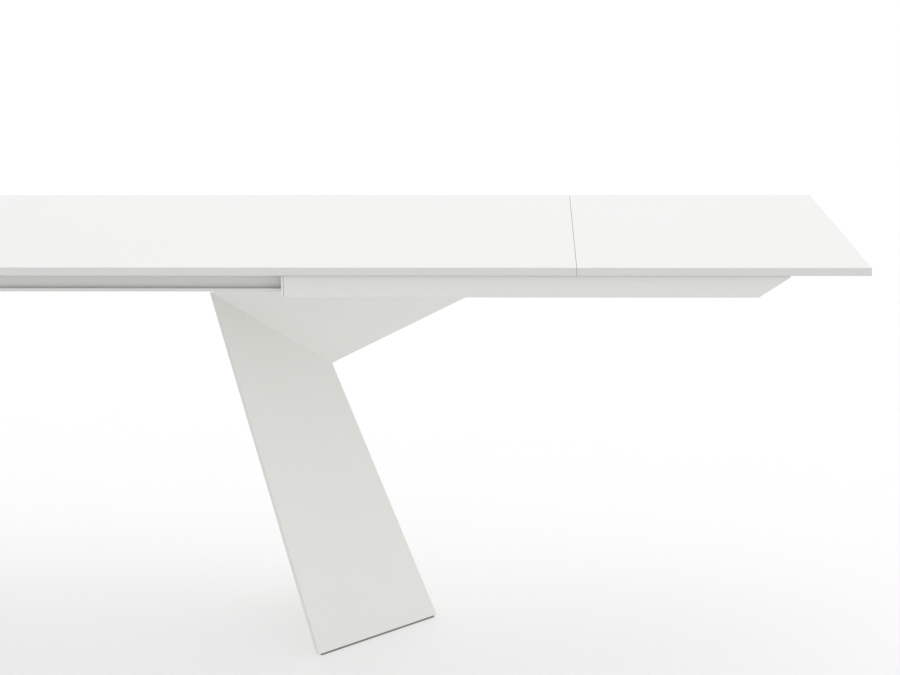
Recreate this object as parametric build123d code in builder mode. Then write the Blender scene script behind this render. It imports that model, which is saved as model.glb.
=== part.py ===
from build123d import *
import os

# Extendable dining table: a thin fixed top on two aluminium rails and four cross beams, two
# folded sheet legs, and at each end a loose leaf that lies on two arms pulled out of the rails.
# Millimetres. +X runs along the table, -Y is the front, +Z is up. The origin is on the floor
# under the middle of the top. The arms are drawn pulled out, with both leaves in place.

# ---------------------------------------------------------------- overall sizes
main_length = 2000.0
leaf_length = 500.0
table_width = 1000.0
table_height = 766.0
top_thickness = 14.0
seam = 0.5  # joint line between the fixed top and a leaf
edge_break = 0.6  # small chamfer on lacquered edges
slide_gap = 0.3  # room between pieces that slide past each other

# ---------------------------------------------------------------- rails and arms
arm_inset = 12.0  # table edge to the arm's outer face
arm_width = 20.0
arm_height = 37.5
arm_wall = 2.0
arm_drop = 2.0  # space between the top's underside and the arm
arm_rail_gap = 2.0
arm_centre_gap = 7.0  # between the two arms of one rail when both are pushed in
arm_nose_inset = 135.5  # leaf's end to the arm's nose
arm_slant_run = 54.5
arm_cap = 4.5
arm_spare = 10.0  # leaf's length less the arm's travel
arm_plug = 12.0
plug_gap = 0.1
rail_depth = 13.0
rail_height = 33.0
rail_wall = 2.5
rail_lip = 5.4
rail_setback = 15.0  # fixed top's end to the rail's end
rail_cap = 3.0
stop_length = 12.0
mid_stop_length = 20.0
mid_stop_height = 4.0  # a low lug, clear of the view into the rail
stop_gap = 0.5
runner_gap = 1.0  # aluminium runner to rail, above and below
glide_length = 30.0
screw_edge = 15.0  # screw centre to the end of what it holds
screw_proud = 2.0  # screw end past what it holds
pad_length = 24.0
pad_width = 14.0
pad_edge = 40.0

# ---------------------------------------------------------------- beams and legs
beam_width = 60.0
beam_height = 24.0
beam_wall = 3.0
beam_end_plate = 5.0
plate_thickness = 6.0
sheet_thickness = 8.0
bend_radius = 3.0
tip_inset = 21.4  # fixed top's end to the tip of the leg's keel
keel_run = 438.7  # tip to knee, along X
knee_drop = 218.0  # mounting plate to knee
foot_kick = 199.7  # knee to the foot's outer point
foot_depth = 207.6  # foot's outer point to its inner corners, along X
foot_half_spread = 262.4
fold_run = 203.9  # knee to the fold's upper end, along X
fold_drop = 53.6  # mounting plate to the fold's upper end
strip_height = 4.0
strip_inset = 0.6
strip_end_inset = 8.0  # a rubber strip stops short of the sheet's ends
plate_margin = 4.0  # mounting plate past the welded sheet
ear_margin = 24.0  # outer bolts to the mounting plate's edge
inner_beam_gap = 160.0  # knee to the inner beam, along X
outer_beam_inset = 120.0  # fixed top's end to the outer beam
beam_screw_pitch = 36.0

# ---------------------------------------------------------------- small hardware
wood_screw_radius = 2.0
wood_screw_head = 3.8
wood_screw_bite = 9.0
machine_screw_radius = 2.5
machine_screw_head = 4.5
head_sink = 2.0
bolt_radius = 4.0
bolt_head_radius = 7.0
bolt_head_height = 4.5
bolt_gap = 0.25
inner_bolt_margin = 38.8  # leg's inner face to the bolts inside it
outer_bolt_margin = 29.68  # leg's outer face to the bolts outside it
hook_thickness = 3.0
hook_width = 24.0
hook_reach = 70.0  # pivot to stud
hook_pivot_inset = 40.0  # fixed top's end to the pivot
hook_y = 250.0
hook_bore_gap = 0.06
pin_radius = 4.0
stud_gap = 0.5
collar_height = 2.7
collar_radius = 7.0
guide_length = 44.0
guide_width = 20.0
guide_height = 12.0
guide_gap = 1.5  # leaf's guide block to the arm
guide_insets = (80.0, 220.0)  # leaf's two ends to the guide blocks

# ---------------------------------------------------------------- worked out from the above
main_end = main_length / 2
leaf_start = main_end + seam
table_end = leaf_start + leaf_length
half_width = table_width / 2
underside = table_height - top_thickness
arm_outer = half_width - arm_inset
arm_inner = arm_outer - arm_width
arm_top = underside - arm_drop
arm_bottom = arm_top - arm_height
arm_stroke = leaf_length - arm_spare
arm_start = arm_stroke + arm_centre_gap / 2
arm_nose = table_end - arm_nose_inset
tube_start = arm_start + arm_cap
rail_face = arm_inner - arm_rail_gap
rail_back = rail_face - rail_depth
rail_middle = underside - rail_height / 2
rail_end = main_end - rail_setback
channel_height = rail_height - 2 * rail_wall
channel_depth = rail_depth - 2 * rail_wall
mouth_height = rail_height - 2 * rail_lip
stop_face = rail_end - stop_length
runner_start = arm_stroke + mid_stop_length / 2 + stop_gap
runner_end = stop_face - stop_gap
runner_back = rail_back + rail_wall + slide_gap
runner_neck = rail_face - rail_wall - slide_gap
beam_bottom = underside - beam_height
leg_top = beam_bottom - plate_thickness
tip_x = main_end - tip_inset
knee = Vector(tip_x - keel_run, 0, leg_top - knee_drop)
keel_tip = Vector(tip_x, 0, leg_top)
foot_point = Vector(knee.X + foot_kick, 0, 0)
foot_corner = Vector(foot_point.X - foot_depth, -foot_half_spread, 0)
inner_beam_x = knee.X - inner_beam_gap
outer_beam_x = main_end - outer_beam_inset
hook_pivot = main_end - hook_pivot_inset
stud_x = hook_pivot + hook_reach
hook_bottom = underside - collar_height - slide_gap - hook_thickness


def y_on_plane(normal, point, x, z):
    return point.Y - (normal.X * (x - point.X) + normal.Z * (z - point.Z)) / normal.Y


# The front sheet of the right leg, by its outer face: the lower part holds the foot's line and
# the knee, and the wing holds the knee and the keel. Its inner edge is one line seen from the front.
lower_normal = (foot_point - foot_corner).cross(knee - foot_corner)
fold_end = Vector(knee.X - fold_run, 0, leg_top - fold_drop)
fold_end.Y = y_on_plane(lower_normal, knee, fold_end.X, fold_end.Z)
wing_normal = (fold_end - knee).cross(keel_tip - knee)
cut_x = foot_corner.X + (fold_end.X - foot_corner.X) * leg_top / fold_end.Z
wing_half_width = -y_on_plane(wing_normal, knee, cut_x, leg_top)
wing_corner = Vector(cut_x, -wing_half_width, leg_top)


def wing_y(x):
    """Half the width of the leg's top at x."""
    return wing_half_width * (tip_x - x) / (tip_x - cut_x)


wing_span = sheet_thickness * wing_normal.length / abs(wing_normal.Y)
inner_bolt = Vector(inner_beam_x, wing_y(inner_beam_x) - wing_span - inner_bolt_margin)
outer_bolt = Vector(outer_beam_x, wing_y(outer_beam_x) + outer_bolt_margin)
ear_half_width = outer_bolt.Y + ear_margin
QUARTERS = {
    "right_front": [],
    "left_front": [Plane.YZ],
    "right_rear": [Plane.XZ],
    "left_rear": [Plane.YZ, Plane.XZ],
}

os.makedirs("parts", exist_ok=True)


def save(piece, name):
    piece.label = name
    export_step(piece, f"parts/{name}.step")


def reflected(piece, planes):
    for plane in planes:
        piece = mirror(piece, about=plane)
    return piece


def save_quarters(piece, name):
    """Writes a piece drawn for the right front quarter and its three reflections."""
    for quarter, planes in QUARTERS.items():
        save(reflected(piece, planes), f"{name}_{quarter}")


def save_four(piece, name):
    """Writes the four reflections of a piece as one group of separate solids."""
    copies = [reflected(piece, planes).solids() for planes in QUARTERS.values()]
    save(Compound(children=[solid for group in copies for solid in group]), name)


# ---------------------------------------------------------------- screws and bolts
# Each stands on the origin with its shank up: a flush face, or the underside of a bolt's head.
def countersunk(head_radius, radius, length):
    with BuildPart() as screw:
        with BuildSketch(Plane.XZ):
            with BuildLine():
                Polyline(
                    (0, 0), (head_radius, 0), (radius, head_sink), (radius, length - radius),
                    (0, length), close=True,
                )
            make_face()
        revolve(axis=Axis.Z)
    return screw.part


wood_screw = countersunk(wood_screw_head, wood_screw_radius, rail_wall + wood_screw_bite)
beam_screw = countersunk(
    machine_screw_head, machine_screw_radius, rail_wall + beam_end_plate + screw_proud
)
runner_screw = countersunk(
    machine_screw_head, machine_screw_radius, arm_inner - runner_back + arm_wall + screw_proud
)

with BuildPart() as leg_bolt:
    with BuildSketch():
        Circle(bolt_head_radius)
    extrude(amount=-bolt_head_height)
    fillet(leg_bolt.faces().sort_by(Axis.Z)[0].edges(), bolt_head_height / 3)
    with BuildSketch(Plane.XY.offset(-bolt_head_height)):
        RegularPolygon(bolt_radius * 0.7, 6)
    extrude(amount=bolt_head_height / 2, mode=Mode.SUBTRACT)
    with BuildSketch():
        Circle(bolt_radius)
    extrude(amount=plate_thickness + beam_wall + screw_proud)

# ---------------------------------------------------------------- fixed top
RAIL_SCREW_SHARES = (0.1, 0.3, 0.5, 0.7, 0.94)
rail_centre = (rail_face + rail_back) / 2
rail_screws_at = [
    Location((side * share * main_end, face * rail_centre, underside - rail_wall))
    for share in RAIL_SCREW_SHARES
    for side in (-1, 1)
    for face in (-1, 1)
]

with BuildPart() as main_top:
    with BuildSketch(Plane.XY.offset(underside)):
        Rectangle(main_length, table_width)
    extrude(amount=top_thickness)
    chamfer(main_top.edges(), edge_break)
    with Locations(*rail_screws_at):
        add(wood_screw, mode=Mode.SUBTRACT)
    with BuildSketch(Plane.XY.offset(underside)):
        with GridLocations(2 * hook_pivot, 2 * hook_y, 2, 2):
            Circle(pin_radius)
    extrude(amount=wood_screw_bite, mode=Mode.SUBTRACT)
save(main_top.part, "main_top")

with BuildPart() as top_screws:
    with Locations(*rail_screws_at):
        add(wood_screw)
save(top_screws.part, "top_screws")

# ---------------------------------------------------------------- rails
beam_xs = [side * beam for beam in (inner_beam_x, outer_beam_x) for side in (-1, 1)]
beam_screws_at = [
    Location(
        (beam + side * beam_screw_pitch / 2, -rail_back - rail_wall, underside - beam_height / 2),
        (-90, 0, 0),
    )
    for beam in beam_xs
    for side in (-1, 1)
]

with BuildPart() as rail_front:
    with BuildSketch(Plane.YZ):
        with Locations((-rail_centre, rail_middle)):
            Rectangle(rail_depth, rail_height)
            Rectangle(channel_depth, channel_height, mode=Mode.SUBTRACT)
        with Locations((-rail_face, rail_middle)):
            Rectangle(2 * rail_wall, mouth_height, mode=Mode.SUBTRACT)
    extrude(amount=rail_end, both=True)
    with Locations(*rail_screws_at):
        add(wood_screw, mode=Mode.SUBTRACT)
    with Locations(*beam_screws_at):
        add(beam_screw, mode=Mode.SUBTRACT)
save(rail_front.part, "rail_front")
save(mirror(rail_front.part, about=Plane.XZ), "rail_rear")

with BuildPart() as rail_end_stop:
    with BuildSketch(Plane.YZ.offset(stop_face)):
        with Locations((-rail_centre, rail_middle)):
            Rectangle(channel_depth - 2 * plug_gap, channel_height - 2 * plug_gap)
    extrude(amount=stop_length)
    with BuildSketch(Plane.YZ.offset(rail_end)):
        with Locations((-rail_centre, rail_middle)):
            Rectangle(rail_depth, rail_height)
    extrude(amount=rail_cap)
    chamfer(rail_end_stop.faces().sort_by(Axis.X)[-1].edges(), edge_break)
save_four(rail_end_stop.part, "rail_end_stops")

with BuildPart() as mid_stops:
    with BuildSketch(Plane.XY.offset(underside - rail_wall)):
        with GridLocations(0, 2 * rail_centre, 1, 2):
            Rectangle(mid_stop_length, channel_depth - 2 * plug_gap)
    extrude(amount=-mid_stop_height)
save(mid_stops.part, "rail_mid_stops")

# ---------------------------------------------------------------- cross beams
with BuildPart() as cross_beam:
    with BuildSketch(Plane.XZ.offset(rail_back)):
        with Locations((0, underside - beam_height / 2)):
            Rectangle(beam_width, beam_height)
    extrude(amount=-2 * rail_back)
    chamfer(cross_beam.edges().filter_by(Axis.Y), edge_break)
    with BuildSketch(Plane.XZ.offset(rail_back - beam_end_plate)):
        with Locations((0, underside - beam_height / 2)):
            Rectangle(beam_width - 2 * beam_wall, beam_height - 2 * beam_wall)
    extrude(amount=-2 * (rail_back - beam_end_plate), mode=Mode.SUBTRACT)
    with BuildSketch(Plane.XZ.offset(rail_back)):
        with GridLocations(beam_screw_pitch, 0, 2, 1):
            with Locations((0, underside - beam_height / 2)):
                Circle(machine_screw_radius)
    extrude(amount=-2 * rail_back, mode=Mode.SUBTRACT)


def beam_with_holes(x, bolt_y):
    with BuildPart(Plane.XY.offset(beam_bottom)) as beam:
        with Locations((x, 0, -beam_bottom)):
            add(cross_beam.part)
        with Locations((x, bolt_y), (x, -bolt_y)):
            Hole(bolt_radius, depth=2 * beam_wall)
    return beam.part


for side, planes in (("right", []), ("left", [Plane.YZ])):
    save(reflected(beam_with_holes(inner_bolt.X, inner_bolt.Y), planes), f"cross_beam_inner_{side}")
    save(reflected(beam_with_holes(outer_bolt.X, outer_bolt.Y), planes), f"cross_beam_outer_{side}")

with BuildPart() as beam_screws:
    with Locations(*beam_screws_at):
        add(beam_screw)
    mirror(about=Plane.XZ)
save(beam_screws.part, "beam_screws")

# ---------------------------------------------------------------- legs
# Each leg is two bent sheets, welded edge to edge on the table's long middle plane. A sheet is cut
# square to its face before it is bent, so the two parts of its inner edge have a plane each.
fold = (knee - fold_end).normalized()
sheet_reach = table_height + leaf_length
down_sheet = lower_normal.cross(fold).normalized()
up_wing = fold.cross(wing_normal).normalized()
if down_sheet.Z > 0:
    down_sheet = -down_sheet
if up_wing.Z < 0:
    up_wing = -up_wing
fold_plane = Plane(origin=knee, x_dir=down_sheet, z_dir=-fold)
wing_far = fold_plane.to_local_coords(knee + up_wing * sheet_reach)
halfway = Plane(origin=knee, z_dir=down_sheet - up_wing)
lower_cut = Plane(origin=foot_corner, z_dir=(fold_end - foot_corner).cross(lower_normal))
wing_cut = Plane(origin=fold_end, z_dir=wing_normal.cross(wing_corner - fold_end))

with BuildPart() as bent_sheet:
    with BuildSketch(fold_plane):
        with BuildLine():
            FilletPolyline((sheet_reach, 0), (0, 0), (wing_far.X, wing_far.Y), radius=bend_radius)
            offset(amount=sheet_thickness, side=Side.LEFT if wing_far.Y > 0 else Side.RIGHT)
        make_face()
    extrude(amount=sheet_reach, both=True)
    split(bisect_by=Plane.XZ, keep=Keep.TOP)
    split(bisect_by=Plane.XY.offset(strip_height), keep=Keep.TOP)
    split(bisect_by=Plane.XY.offset(leg_top), keep=Keep.BOTTOM)

with BuildPart() as lower_sheet:
    add(bent_sheet.part)
    split(bisect_by=halfway, keep=Keep.TOP)
    split(bisect_by=lower_cut, keep=Keep.TOP)

with BuildPart() as leg_sheet:
    add(bent_sheet.part)
    split(bisect_by=halfway, keep=Keep.BOTTOM)
    split(bisect_by=wing_cut, keep=Keep.TOP)
    add(lower_sheet.part)
save_quarters(leg_sheet.part, "leg_sheet")

with BuildPart() as leg_plate:
    with BuildSketch(Plane.XY.offset(leg_top)):
        with BuildLine():
            Polyline(
                (cut_x - plate_margin, 0), (cut_x - plate_margin, -wing_half_width - plate_margin),
                (outer_beam_x - beam_width / 2, -ear_half_width),
                (outer_beam_x + beam_width / 2, -ear_half_width), (tip_x + plate_margin, -plate_margin),
                (tip_x + plate_margin, 0), close=True,
            )
        make_face()
        mirror(about=Plane.XZ)
        with Locations((inner_bolt.X, inner_bolt.Y), (inner_bolt.X, -inner_bolt.Y)):
            Circle(bolt_radius + bolt_gap, mode=Mode.SUBTRACT)
        with Locations((outer_bolt.X, outer_bolt.Y), (outer_bolt.X, -outer_bolt.Y)):
            Circle(bolt_radius + bolt_gap, mode=Mode.SUBTRACT)
    extrude(amount=plate_thickness)
save(leg_plate.part, "leg_plate_right")
save(mirror(leg_plate.part, about=Plane.YZ), "leg_plate_left")

with BuildPart(Plane.XY.offset(leg_top)) as bolt_pair:
    with Locations((inner_bolt.X, -inner_bolt.Y), (outer_bolt.X, -outer_bolt.Y)):
        add(leg_bolt.part)
save_four(bolt_pair.part, "leg_bolts")

# A rubber strip under the foot of each sheet, a little narrower than the sheet's edge.
foot_line = foot_point - foot_corner
lean = strip_height * lower_normal.Z / Vector(lower_normal.X, lower_normal.Y).length
across = sheet_thickness * lower_normal.length / Vector(lower_normal.X, lower_normal.Y).length
with BuildPart() as foot_strip:
    with BuildSketch(Plane(origin=foot_corner, x_dir=foot_line, z_dir=(0, 0, 1))):
        with Locations((strip_end_inset, lean + strip_inset)):
            Rectangle(
                foot_line.length - 2 * strip_end_inset, across - 2 * strip_inset,
                align=(Align.MIN, Align.MIN),
            )
    extrude(amount=strip_height)
save_four(foot_strip.part, "foot_strips")

# ---------------------------------------------------------------- arms
arm_centre = (arm_outer + arm_inner) / 2
arm_middle = (arm_top + arm_bottom) / 2
runner_span = runner_end - runner_start
runner_screws_at = [
    Location((x, -runner_back, rail_middle), (90, 0, 0))
    for x in (
        runner_start + screw_edge,
        runner_start + glide_length + screw_edge,
        runner_end - glide_length - screw_edge,
        runner_end - screw_edge,
    )
]

with BuildPart() as arm_tube:
    with BuildSketch(Plane.XZ.offset(arm_inner)):
        with BuildLine():
            Polyline(
                (tube_start, arm_bottom), (arm_nose - arm_slant_run, arm_bottom),
                (arm_nose, arm_top - arm_wall), (arm_nose, arm_top), (tube_start, arm_top), close=True,
            )
        make_face()
    extrude(amount=arm_width)
    chamfer(arm_tube.edges().filter_by(Axis.X), edge_break)
    with BuildSketch(Plane.YZ.offset(tube_start)):
        with Locations((-arm_centre, arm_middle)):
            Rectangle(arm_width - 2 * arm_wall, arm_height - 2 * arm_wall)
    extrude(amount=arm_nose - tube_start, mode=Mode.SUBTRACT)
    with Locations(*runner_screws_at):
        add(runner_screw, mode=Mode.SUBTRACT)
save_quarters(arm_tube.part, "arm_tube")

with BuildPart() as arm_inner_cap:
    with BuildSketch(Plane.YZ.offset(arm_start)):
        with Locations((-arm_centre, arm_middle)):
            Rectangle(arm_width, arm_height)
    extrude(amount=arm_cap)
    chamfer(arm_inner_cap.faces().sort_by(Axis.X)[0].edges(), edge_break)
    chamfer(arm_inner_cap.edges().filter_by(Axis.X), edge_break)
    with BuildSketch(Plane.YZ.offset(tube_start)):
        with Locations((-arm_centre, arm_middle)):
            Rectangle(arm_width - 2 * (arm_wall + plug_gap), arm_height - 2 * (arm_wall + plug_gap))
    extrude(amount=arm_plug)
save_quarters(arm_inner_cap.part, "arm_inner_cap")

slant = arm_slant_run / (arm_height - arm_wall)
cap_low = arm_wall + plug_gap
cap_high = arm_height - arm_wall - plug_gap
mouth_start = arm_nose - arm_slant_run
with BuildPart() as arm_outer_cap:
    with BuildSketch(Plane.XZ.offset(arm_inner + arm_wall + plug_gap)):
        with BuildLine():
            Polyline(
                (mouth_start + slant * cap_low, arm_bottom + cap_low),
                (mouth_start + slant * cap_high, arm_bottom + cap_high),
                (mouth_start + slant * cap_high - arm_plug, arm_bottom + cap_high),
                (mouth_start + slant * cap_low - arm_plug, arm_bottom + cap_low), close=True,
            )
        make_face()
    extrude(amount=arm_width - 2 * (arm_wall + plug_gap))
save_quarters(arm_outer_cap.part, "arm_outer_cap")


def runner_section(gap):
    """Draws a T that fills the front rail's channel and mouth, less gap above and below."""
    head_depth = runner_neck - runner_back
    with Locations((-runner_back, rail_middle)):
        Rectangle(head_depth, channel_height - 2 * gap, align=(Align.MAX, Align.CENTER))
    with Locations((-arm_inner, rail_middle)):
        Rectangle(arm_inner - runner_back, mouth_height - 2 * gap, align=(Align.MIN, Align.CENTER))


with BuildPart() as arm_runner:
    with BuildSketch(Plane.YZ.offset(runner_start + glide_length)):
        runner_section(runner_gap)
    extrude(amount=runner_span - 2 * glide_length)
    with Locations(*runner_screws_at):
        add(runner_screw, mode=Mode.SUBTRACT)
save_quarters(arm_runner.part, "arm_runner")

with BuildPart() as arm_glides:
    with BuildSketch(Plane.YZ.offset(runner_start), Plane.YZ.offset(runner_end - glide_length)):
        runner_section(slide_gap)
    extrude(amount=glide_length)
    with Locations(*runner_screws_at):
        add(runner_screw, mode=Mode.SUBTRACT)
save_quarters(arm_glides.part, "arm_glides")

with BuildPart() as arm_screws:
    with Locations(*runner_screws_at):
        add(runner_screw)
save_quarters(arm_screws.part, "arm_screws")

with BuildPart() as arm_pads:
    with BuildSketch(Plane.XY.offset(arm_top)):
        with Locations((leaf_start + pad_edge, -arm_centre), (arm_nose - pad_edge, -arm_centre)):
            RectangleRounded(pad_length, pad_width, pad_width / 4)
    extrude(amount=arm_drop - slide_gap)
save_quarters(arm_pads.part, "arm_pads")

# ---------------------------------------------------------------- leaves
with BuildPart() as leaf:
    with BuildSketch(Plane.XY.offset(underside)):
        with Locations((leaf_start, 0)):
            Rectangle(leaf_length, table_width, align=(Align.MIN, Align.CENTER))
    extrude(amount=top_thickness)
    chamfer(leaf.edges(), edge_break)
    with BuildSketch(Plane.XY.offset(underside)):
        with Locations((stud_x, hook_y), (stud_x, -hook_y)):
            Circle(pin_radius)
    extrude(amount=wood_screw_bite, mode=Mode.SUBTRACT)

with BuildPart() as leaf_guides:
    guide_face = arm_inner - guide_gap
    with BuildSketch(Plane.XY.offset(underside)):
        for x in (leaf_start + guide_insets[0], table_end - guide_insets[1]):
            with Locations((x, guide_face - guide_width / 2), (x, guide_width / 2 - guide_face)):
                Rectangle(guide_length, guide_width)
    extrude(amount=-guide_height)
    chamfer(leaf_guides.faces().group_by(Axis.Z)[0].edges(), 2 * edge_break)

with BuildPart() as leaf_studs:
    with BuildSketch(Plane.XY.offset(hook_bottom)):
        with Locations((stud_x, hook_y), (stud_x, -hook_y)):
            Circle(pin_radius)
    extrude(amount=underside + wood_screw_bite - hook_bottom)
    chamfer(leaf_studs.faces().group_by(Axis.Z)[0].edges(), edge_break)

for piece, name in ((leaf, "leaf"), (leaf_guides, "leaf_guides"), (leaf_studs, "leaf_studs")):
    save(piece.part, f"{name}_right")
    save(mirror(piece.part, about=Plane.YZ), f"{name}_left")

# ---------------------------------------------------------------- joining hooks
# A flat hook turns on a pin under the fixed top, and its curved mouth closes round a leaf's stud.
mouth = CenterArc((0, 0), hook_reach, -30, 30)
with BuildPart() as hook:
    with BuildSketch(Plane.XY.offset(hook_bottom)):
        with Locations((hook_pivot, -hook_y)):
            Circle(hook_width / 2)
            Rectangle(hook_reach, hook_width, align=(Align.MIN, Align.CENTER))
            Circle(pin_radius + hook_bore_gap, mode=Mode.SUBTRACT)
        with Locations((stud_x, -hook_y)):
            Circle(hook_width / 2)
        with Locations((hook_pivot, -hook_y)):
            SlotArc(mouth, 2 * (pin_radius + stud_gap), mode=Mode.SUBTRACT)
    extrude(amount=hook_thickness)
save_quarters(hook.part, "joining_hook")

with BuildPart(Plane.XY.offset(underside)) as hook_pin:
    with Locations((hook_pivot, -hook_y)):
        Cylinder(pin_radius, wood_screw_bite, align=(Align.CENTER, Align.CENTER, Align.MIN))
        Cylinder(collar_radius, collar_height, align=(Align.CENTER, Align.CENTER, Align.MAX))
    with Locations((hook_pivot, -hook_y, -collar_height)):
        Cylinder(pin_radius, hook_thickness + 2 * slide_gap, align=(Align.CENTER, Align.CENTER, Align.MAX))
    with Locations((hook_pivot, -hook_y, hook_bottom - slide_gap - underside)):
        Cylinder(collar_radius, head_sink, align=(Align.CENTER, Align.CENTER, Align.MAX))
    chamfer(hook_pin.faces().sort_by(Axis.Z)[0].edges(), edge_break)
save_four(hook_pin.part, "hook_pins")
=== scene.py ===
import math

import bmesh
import bpy
from mathutils import Matrix, Vector


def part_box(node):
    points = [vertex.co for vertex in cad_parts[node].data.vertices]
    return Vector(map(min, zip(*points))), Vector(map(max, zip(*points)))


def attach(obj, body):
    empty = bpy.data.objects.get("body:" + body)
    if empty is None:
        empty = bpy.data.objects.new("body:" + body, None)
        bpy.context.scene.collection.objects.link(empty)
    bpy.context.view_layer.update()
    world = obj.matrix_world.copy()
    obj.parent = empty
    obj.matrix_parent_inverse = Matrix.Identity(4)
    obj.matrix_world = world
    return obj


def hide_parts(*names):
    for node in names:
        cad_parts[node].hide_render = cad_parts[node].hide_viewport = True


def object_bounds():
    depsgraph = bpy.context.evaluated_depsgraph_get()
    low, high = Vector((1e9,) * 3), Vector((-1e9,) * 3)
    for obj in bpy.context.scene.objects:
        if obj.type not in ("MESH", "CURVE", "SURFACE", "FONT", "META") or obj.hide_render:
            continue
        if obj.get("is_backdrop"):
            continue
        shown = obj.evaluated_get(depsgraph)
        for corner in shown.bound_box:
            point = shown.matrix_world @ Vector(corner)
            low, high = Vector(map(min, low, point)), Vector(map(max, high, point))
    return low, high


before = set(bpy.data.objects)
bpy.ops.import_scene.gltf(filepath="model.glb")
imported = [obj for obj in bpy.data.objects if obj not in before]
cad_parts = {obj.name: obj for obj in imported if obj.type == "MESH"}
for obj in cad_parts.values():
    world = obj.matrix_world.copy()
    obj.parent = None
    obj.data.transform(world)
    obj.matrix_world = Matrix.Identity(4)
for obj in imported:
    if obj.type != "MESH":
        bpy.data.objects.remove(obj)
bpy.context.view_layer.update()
QUARTERS = ("right_front", "left_front", "right_rear", "left_rear")
SIDES = ("right", "left")


# ---- Boards ------------------------------------------------------------------------------
# The fixed top and the two loose leaves are boards sawn square, their edges eased with a small
# round, and then sprayed all over with a satin white lacquer that keeps a faint orange peel.
board_round = 0.0005
board_round_steps = 4
board_white = (0.67, 0.67, 0.66, 1.0)
board_roughness = 0.33
board_peel = 420.0
board_peel_depth = 0.000012


def sprayed_film():
    """A node group for any sprayed film: a blotchy roughness, a faint tone change and its peel."""
    group = bpy.data.node_groups.new("sprayed_film", "ShaderNodeTree")
    for name, value in (("Peel", 400.0), ("Roughness", 0.3), ("Spread", 0.05), ("Tone", 0.02)):
        socket = group.interface.new_socket(name, in_out="INPUT", socket_type="NodeSocketFloat")
        socket.default_value = value
    group.interface.new_socket("Colour In", in_out="INPUT", socket_type="NodeSocketColor")
    for name, kind in (("Colour", "Color"), ("Roughness", "Float"), ("Height", "Float")):
        group.interface.new_socket(name, in_out="OUTPUT", socket_type=f"NodeSocket{kind}")
    nodes, links = group.nodes, group.links
    given, put = nodes.new("NodeGroupInput"), nodes.new("NodeGroupOutput")
    place = nodes.new("ShaderNodeTexCoord")

    peel = nodes.new("ShaderNodeTexNoise")
    peel.inputs["Detail"].default_value = 2.0
    links.new(place.outputs["Object"], peel.inputs["Vector"])
    links.new(given.outputs["Peel"], peel.inputs["Scale"])
    links.new(peel.outputs["Fac"], put.inputs["Height"])

    blotch = nodes.new("ShaderNodeTexNoise")
    blotch.inputs["Scale"].default_value = 5.0
    blotch.inputs["Detail"].default_value = 4.0
    links.new(place.outputs["Object"], blotch.inputs["Vector"])

    low, high = nodes.new("ShaderNodeMath"), nodes.new("ShaderNodeMath")
    low.operation, high.operation = "SUBTRACT", "ADD"
    for node in (low, high):
        links.new(given.outputs["Roughness"], node.inputs[0])
        links.new(given.outputs["Spread"], node.inputs[1])
    spread = nodes.new("ShaderNodeMapRange")
    links.new(blotch.outputs["Fac"], spread.inputs["Value"])
    links.new(low.outputs[0], spread.inputs["To Min"])
    links.new(high.outputs[0], spread.inputs["To Max"])
    links.new(spread.outputs["Result"], put.inputs["Roughness"])

    darker = nodes.new("ShaderNodeMath")
    darker.operation = "SUBTRACT"
    darker.inputs[0].default_value = 1.0
    links.new(given.outputs["Tone"], darker.inputs[1])
    tone = nodes.new("ShaderNodeMapRange")
    links.new(blotch.outputs["Fac"], tone.inputs["Value"])
    links.new(darker.outputs[0], tone.inputs["To Min"])
    tone.inputs["To Max"].default_value = 1.0
    shade = nodes.new("ShaderNodeHueSaturation")
    links.new(given.outputs["Colour In"], shade.inputs["Color"])
    links.new(tone.outputs["Result"], shade.inputs["Value"])
    links.new(shade.outputs["Color"], put.inputs["Colour"])
    return group


film = sprayed_film()


def film_finish(name, colour, roughness, peel, depth, spread=0.04, tone=0.02, coat=0.0):
    """A sprayed or powder coated finish, with the film group's values for this piece."""
    material = bpy.data.materials.new(name)
    material.use_nodes = True
    nodes, links = material.node_tree.nodes, material.node_tree.links
    shader = nodes["Principled BSDF"]
    shader.inputs["Coat Weight"].default_value = coat
    shader.inputs["Coat Roughness"].default_value = roughness / 2
    coated = nodes.new("ShaderNodeGroup")
    coated.node_tree = film
    coated.inputs["Peel"].default_value = peel
    coated.inputs["Roughness"].default_value = roughness
    coated.inputs["Spread"].default_value = spread
    coated.inputs["Tone"].default_value = tone
    coated.inputs["Colour In"].default_value = colour
    bump = nodes.new("ShaderNodeBump")
    bump.inputs["Strength"].default_value = 1.0
    bump.inputs["Distance"].default_value = depth
    links.new(coated.outputs["Colour"], shader.inputs["Base Color"])
    links.new(coated.outputs["Roughness"], shader.inputs["Roughness"])
    links.new(coated.outputs["Height"], bump.inputs["Height"])
    links.new(bump.outputs["Normal"], shader.inputs["Normal"])
    return material


def piece_of(shape, name, material):
    """Turns a finished bmesh into a named object with its finish on it."""
    mesh = bpy.data.meshes.new(name)
    shape.to_mesh(mesh)
    shape.free()
    for face in mesh.polygons:
        face.use_smooth = True
    piece = bpy.data.objects.new(name, mesh)
    bpy.context.scene.collection.objects.link(piece)
    piece.data.materials.append(material)
    level = piece.modifiers.new("level_normals", "WEIGHTED_NORMAL")
    level.weight = 100
    return piece


def stand_for(piece, node, body):
    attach(piece, body)
    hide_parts(node)


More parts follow.
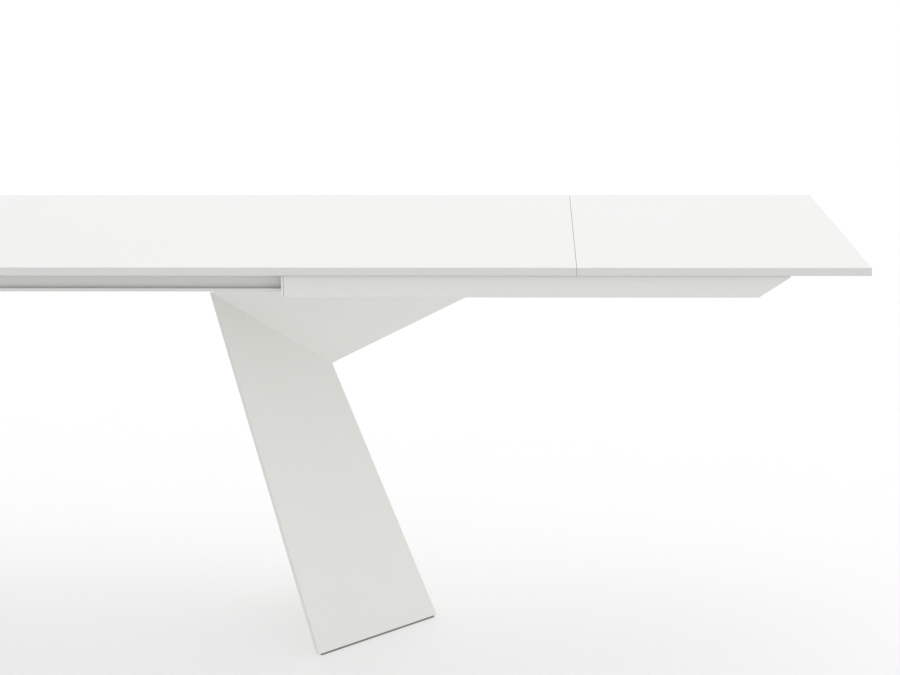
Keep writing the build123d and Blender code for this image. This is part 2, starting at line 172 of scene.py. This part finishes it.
lacquer = film_finish("satin_lacquer", board_white, board_roughness, board_peel, board_peel_depth)
for node, body in (("main_top", "table"), ("leaf_right", "leaf_right"), ("leaf_left", "leaf_left")):
    low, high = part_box(node)
    board = bmesh.new()
    place = Matrix.Translation((low + high) / 2) @ Matrix.Diagonal((high - low).to_4d())
    bmesh.ops.create_cube(board, size=1.0, matrix=place)
    bmesh.ops.bevel(
        board, geom=board.edges[:], offset=board_round, affect="EDGES", segments=board_round_steps,
        profile=0.5, material=-1,
    )
    stand_for(piece_of(board, f"{node}_board", lacquer), node, body)


# ---- Legs --------------------------------------------------------------------------------
# Each leg is two laser cut sheets of 8 mm steel, each bent once, welded to one another along the
# ridge and the keel, ground smooth, and powder coated in a satin white with a fine texture. It
# stands on thin strips of grey rubber.
leg_white = (0.80, 0.80, 0.77, 1.0)
leg_edge_round = 0.0007
strip_round = 0.0006
sharp_bend = math.radians(30)  # a bend sharper than this is an edge
joined_within = 0.00002
flat_within = math.radians(0.5)


def merged(nodes):
    """A bmesh of CAD nodes with their loose triangles joined and their flat faces made whole."""
    shape = bmesh.new()
    for node in nodes:
        shape.from_mesh(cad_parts[node].data)
    bmesh.ops.remove_doubles(shape, verts=shape.verts[:], dist=joined_within)
    bmesh.ops.dissolve_limit(
        shape, angle_limit=flat_within, verts=shape.verts[:], edges=shape.edges[:], delimit=set(),
    )
    return shape


def eased(shape, width, steps=2):
    """Rounds every sharp edge of a merged shape by width."""
    sharp = [
        edge for edge in shape.edges
        if len(edge.link_faces) == 2 and edge.calc_face_angle() > sharp_bend
    ]
    bmesh.ops.bevel(
        shape, geom=sharp, offset=width, affect="EDGES", segments=steps, profile=0.5,
        material=-1, clamp_overlap=True,
    )
    return shape


coating = film_finish("satin_powder_coat", leg_white, 0.42, 900.0, 0.00002, 0.05, 0.02)
for side in SIDES:
    for face in ("front", "rear"):
        half = f"leg_sheet_{side}_{face}"
        sheet = eased(merged([half]), leg_edge_round)
        stand_for(piece_of(sheet, f"{half}_coated", coating), half, "table")
    plate = eased(merged([f"leg_plate_{side}"]), leg_edge_round)
    stand_for(
        piece_of(plate, f"leg_plate_{side}_coated", coating), f"leg_plate_{side}", "table",
    )

grey_rubber = film_finish("grey_rubber", (0.19, 0.19, 0.185, 1.0), 0.75, 1200.0, 0.00004)
strips = eased(merged(["foot_strips"]), strip_round)
stand_for(
    piece_of(strips, "foot_strips_rubber", grey_rubber), "foot_strips", "table",
)


# ---- Rails and beams ---------------------------------------------------------------------
# Two satin anodised C extrusions are screwed up under the fixed top, and four powder coated steel
# tubes run across between their webs, held by screws finished like the rails. Grey plugs in the
# rails end the travel of the arms.
rail_grey = (0.69, 0.69, 0.67, 1.0)
rail_round = 0.0004
beam_round = 0.0015
roughness_swing = 0.07  # how far a drawn metal's roughness strays either way
line_depth = 0.00001
line_stretch = 0.004  # how fine the grain is along X, as a share of how fine it is across


def drawn_metal(name, colour, roughness, metallic, lines):
    """A metal drawn or extruded along X, with fine lines that run the same way."""
    material = bpy.data.materials.new(name)
    material.use_nodes = True
    nodes, links = material.node_tree.nodes, material.node_tree.links
    shader = nodes["Principled BSDF"]
    shader.inputs["Base Color"].default_value = colour
    shader.inputs["Metallic"].default_value = metallic
    place, stretch = nodes.new("ShaderNodeTexCoord"), nodes.new("ShaderNodeMapping")
    stretch.inputs["Scale"].default_value = (lines * line_stretch, lines, lines)
    grain, spread, bump = (
        nodes.new(kind) for kind in ("ShaderNodeTexNoise", "ShaderNodeMapRange", "ShaderNodeBump")
    )
    grain.inputs["Scale"].default_value = 1.0
    grain.inputs["Detail"].default_value = 3.0
    spread.inputs["To Min"].default_value = roughness - roughness_swing
    spread.inputs["To Max"].default_value = roughness + roughness_swing
    bump.inputs["Distance"].default_value = line_depth
    links.new(place.outputs["Object"], stretch.inputs["Vector"])
    links.new(stretch.outputs["Vector"], grain.inputs["Vector"])
    links.new(grain.outputs["Fac"], spread.inputs["Value"])
    links.new(spread.outputs["Result"], shader.inputs["Roughness"])
    links.new(grain.outputs["Fac"], bump.inputs["Height"])
    links.new(bump.outputs["Normal"], shader.inputs["Normal"])
    return material


anodised = drawn_metal("satin_anodised", rail_grey, 0.45, 0.35, 900.0)
for face in ("front", "rear"):
    rail = eased(merged([f"rail_{face}"]), rail_round)
    stand_for(
        piece_of(rail, f"rail_{face}_extrusion", anodised), f"rail_{face}", "table",
    )

for side in SIDES:
    for row in ("inner", "outer"):
        node = f"cross_beam_{row}_{side}"
        beam = eased(merged([node]), beam_round)
        stand_for(piece_of(beam, f"{node}_coated", coating), node, "table")

grey_moulding = film_finish("grey_moulding", (0.50, 0.50, 0.50, 1.0), 0.5, 700.0, 0.00003)
for node in ("rail_end_stops", "rail_mid_stops"):
    stops = eased(merged([node]), rail_round)
    stand_for(piece_of(stops, f"{node}_moulded", grey_moulding), node, "table")

beam_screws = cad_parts["beam_screws"].data
beam_screws.materials.clear()
beam_screws.materials.append(anodised)


# ---- Arms --------------------------------------------------------------------------------
# Four coated aluminium tubes with a slanted mouth carry the leaves. Each has a moulded cap at its
# inner end, a plug in its mouth, thin rubber pads on top, and a T bar with nylon shoes inside.
arm_white = (0.74, 0.745, 0.725, 1.0)
arm_coat = film_finish("arm_powder_coat", arm_white, 0.40, 900.0, 0.000015)
white_moulding = film_finish("white_moulding", (0.78, 0.78, 0.765, 1.0), 0.5, 1100.0, 0.00003)
rubber = film_finish("dark_rubber", (0.05, 0.05, 0.05, 1.0), 0.75, 1200.0, 0.00004)
nylon = film_finish("nylon", (0.70, 0.70, 0.66, 1.0), 0.45, 600.0, 0.00002)
runner_metal = drawn_metal("runner_aluminium", (0.66, 0.66, 0.67, 1.0), 0.38, 0.9, 900.0)
arm_pieces = {
    "arm_tube": ("coated", arm_coat, "arm_coating", 0.0006),
    "arm_inner_cap": ("moulded", white_moulding, "arm_cap_plastic", 0.0005),
    "arm_outer_cap": ("moulded", white_moulding, "arm_cap_plastic", 0.0004),
    "arm_runner": ("extrusion", runner_metal, "rail_aluminium", 0.0004),
    "arm_glides": ("moulded", nylon, "glide_nylon", 0.0005),
    "arm_pads": ("rubber", rubber, "rubber", 0.0003),
}
cap_gap = 0.0008
at_the_joint = 0.0001  # a corner this near the joint belongs to the cap's flange


def cap_with_gap(node, quarter):
    """The inner cap's flange drawn back from the tube, which leaves a fine dark joint line."""
    cap = merged([node])
    low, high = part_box(f"arm_tube_{quarter}")
    outward = math.copysign(1.0, low.x + high.x)
    joint = min(abs(low.x), abs(high.x))
    for corner in cap.verts:
        if abs(abs(corner.co.x) - joint) < at_the_joint:
            corner.co.x -= outward * cap_gap
    return cap


for quarter in QUARTERS:
    for stem, (made, finish, slot, width) in arm_pieces.items():
        node = f"{stem}_{quarter}"
        shape = cap_with_gap(node, quarter) if stem == "arm_inner_cap" else merged([node])
        piece = piece_of(eased(shape, width), f"{node}_{made}", finish)
        stand_for(piece, node, f"arm_{quarter}")


# ---- Under the leaves --------------------------------------------------------------------
# Grey blocks keep each leaf between its arms. Flat zinc plated hooks on pins under the fixed top
# close round plain studs under the leaf. Bolts, and all screws but the beams' own, are zinc too.
guide_round = 0.0006
for side in SIDES:
    node = f"leaf_guides_{side}"
    guides = eased(merged([node]), guide_round)
    stand_for(piece_of(guides, f"{node}_moulded", grey_moulding), node, f"leaf_{side}")

zinc = drawn_metal("zinc_plate", (0.58, 0.58, 0.58, 1.0), 0.48, 1.0, 300.0)
hardware = ["hook_pins", "top_screws", "leg_bolts", "leaf_studs_right", "leaf_studs_left"]
hardware += [f"arm_screws_{quarter}" for quarter in QUARTERS]
hardware += [f"joining_hook_{quarter}" for quarter in QUARTERS]
for node in hardware:
    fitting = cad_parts[node].data
    fitting.materials.clear()
    fitting.materials.append(zinc)


# ---- Floor -------------------------------------------------------------------------------
# A seamless pale studio floor, reaching far past the table on every side. It glows a little with
# painted light of its own, so that the shadows on it stay faint.
floor_reach = 60.0
painted_floor_glow = 0.478
floor_white = (0.42, 0.42, 0.42, 1.0)
floor_finish = film_finish("studio_floor", floor_white, 0.8, 40.0, 0.0002, 0.05, 0.01)
glowing_floor = floor_finish.node_tree.nodes["Principled BSDF"]
# Painted light: an even emission on the floor that lightens the shadows cast on it.
glowing_floor.inputs["Emission Color"].default_value = (1.0, 1.0, 1.0, 1.0)
glowing_floor.inputs["Emission Strength"].default_value = painted_floor_glow
ground = bmesh.new()
bmesh.ops.create_grid(ground, x_segments=1, y_segments=1, size=floor_reach)
floor = piece_of(ground, "floor", floor_finish)
floor.modifiers.clear()
floor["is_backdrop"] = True


# ---- Studio light ------------------------------------------------------------------------
# A huge soft light hangs high behind the table, so the shadow of the top falls forwards. A fill
# stands low on the right, and reaches in under the top. The backdrop is burnt out to white.
room_glow = 0.82
soft_lights = (  # where each comes from, how bright it is, and how narrow
    (Vector((0.05, 0.85, 1.0)), 1.15, 4.0),
    (Vector((0.8, -0.6, -0.04)), 1.25, 9.0),
)

sky = bpy.data.worlds.new("studio")
sky.use_nodes = True
nodes, links = sky.node_tree.nodes, sky.node_tree.links
back = nodes["Background"]
back.inputs["Color"].default_value = (1.0, 1.0, 1.0, 1.0)
place = nodes.new("ShaderNodeTexCoord")
level = nodes.new("ShaderNodeValue")
level.outputs[0].default_value = room_glow
for direction, brightness, narrowness in soft_lights:
    lean = nodes.new("ShaderNodeVectorMath")
    lean.operation = "DOT_PRODUCT"
    lean.inputs[1].default_value = direction.normalized()
    facing, fade, glow = (nodes.new("ShaderNodeMath") for step in range(3))
    facing.operation, fade.operation, glow.operation = "MAXIMUM", "POWER", "MULTIPLY_ADD"
    facing.inputs[1].default_value = 0.0
    fade.inputs[1].default_value = narrowness
    glow.inputs[1].default_value = brightness
    links.new(place.outputs["Generated"], lean.inputs[0])
    links.new(lean.outputs["Value"], facing.inputs[0])
    links.new(facing.outputs[0], fade.inputs[0])
    links.new(fade.outputs[0], glow.inputs[0])
    links.new(level.outputs[0], glow.inputs[2])
    level = glow
seen, shown = nodes.new("ShaderNodeLightPath"), nodes.new("ShaderNodeMix")
shown.inputs["B"].default_value = 1.0
links.new(seen.outputs["Is Camera Ray"], shown.inputs["Factor"])
links.new(level.outputs[0], shown.inputs["A"])
links.new(shown.outputs["Result"], back.inputs["Strength"])
bpy.context.scene.world = sky
bpy.context.scene.view_settings.view_transform = "Standard"


# ---- Camera ------------------------------------------------------------------------------
# A long lens stands in front of the table's right half. It looks a little down and a little to
# the left, so that one leg and one leaf fill the view.
camera_place = Vector((0.9315, -4.7726, 1.4257))
camera_down = 0.18059
camera_turn = 0.03455
camera_roll = -0.00471
lens = bpy.data.cameras.new("camera")
lens.sensor_width = 36.0
lens.lens = 101.4575
lens.clip_end = 200.0
camera = bpy.data.objects.new("camera", lens)
camera.matrix_world = (
    Matrix.Translation(camera_place)
    @ Matrix.Rotation(camera_turn, 4, "Z")
    @ Matrix.Rotation(math.pi / 2 - camera_down, 4, "X")
    @ Matrix.Rotation(camera_roll, 4, "Z")
)
bpy.context.scene.collection.objects.link(camera)
bpy.context.scene.camera = camera

low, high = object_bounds()
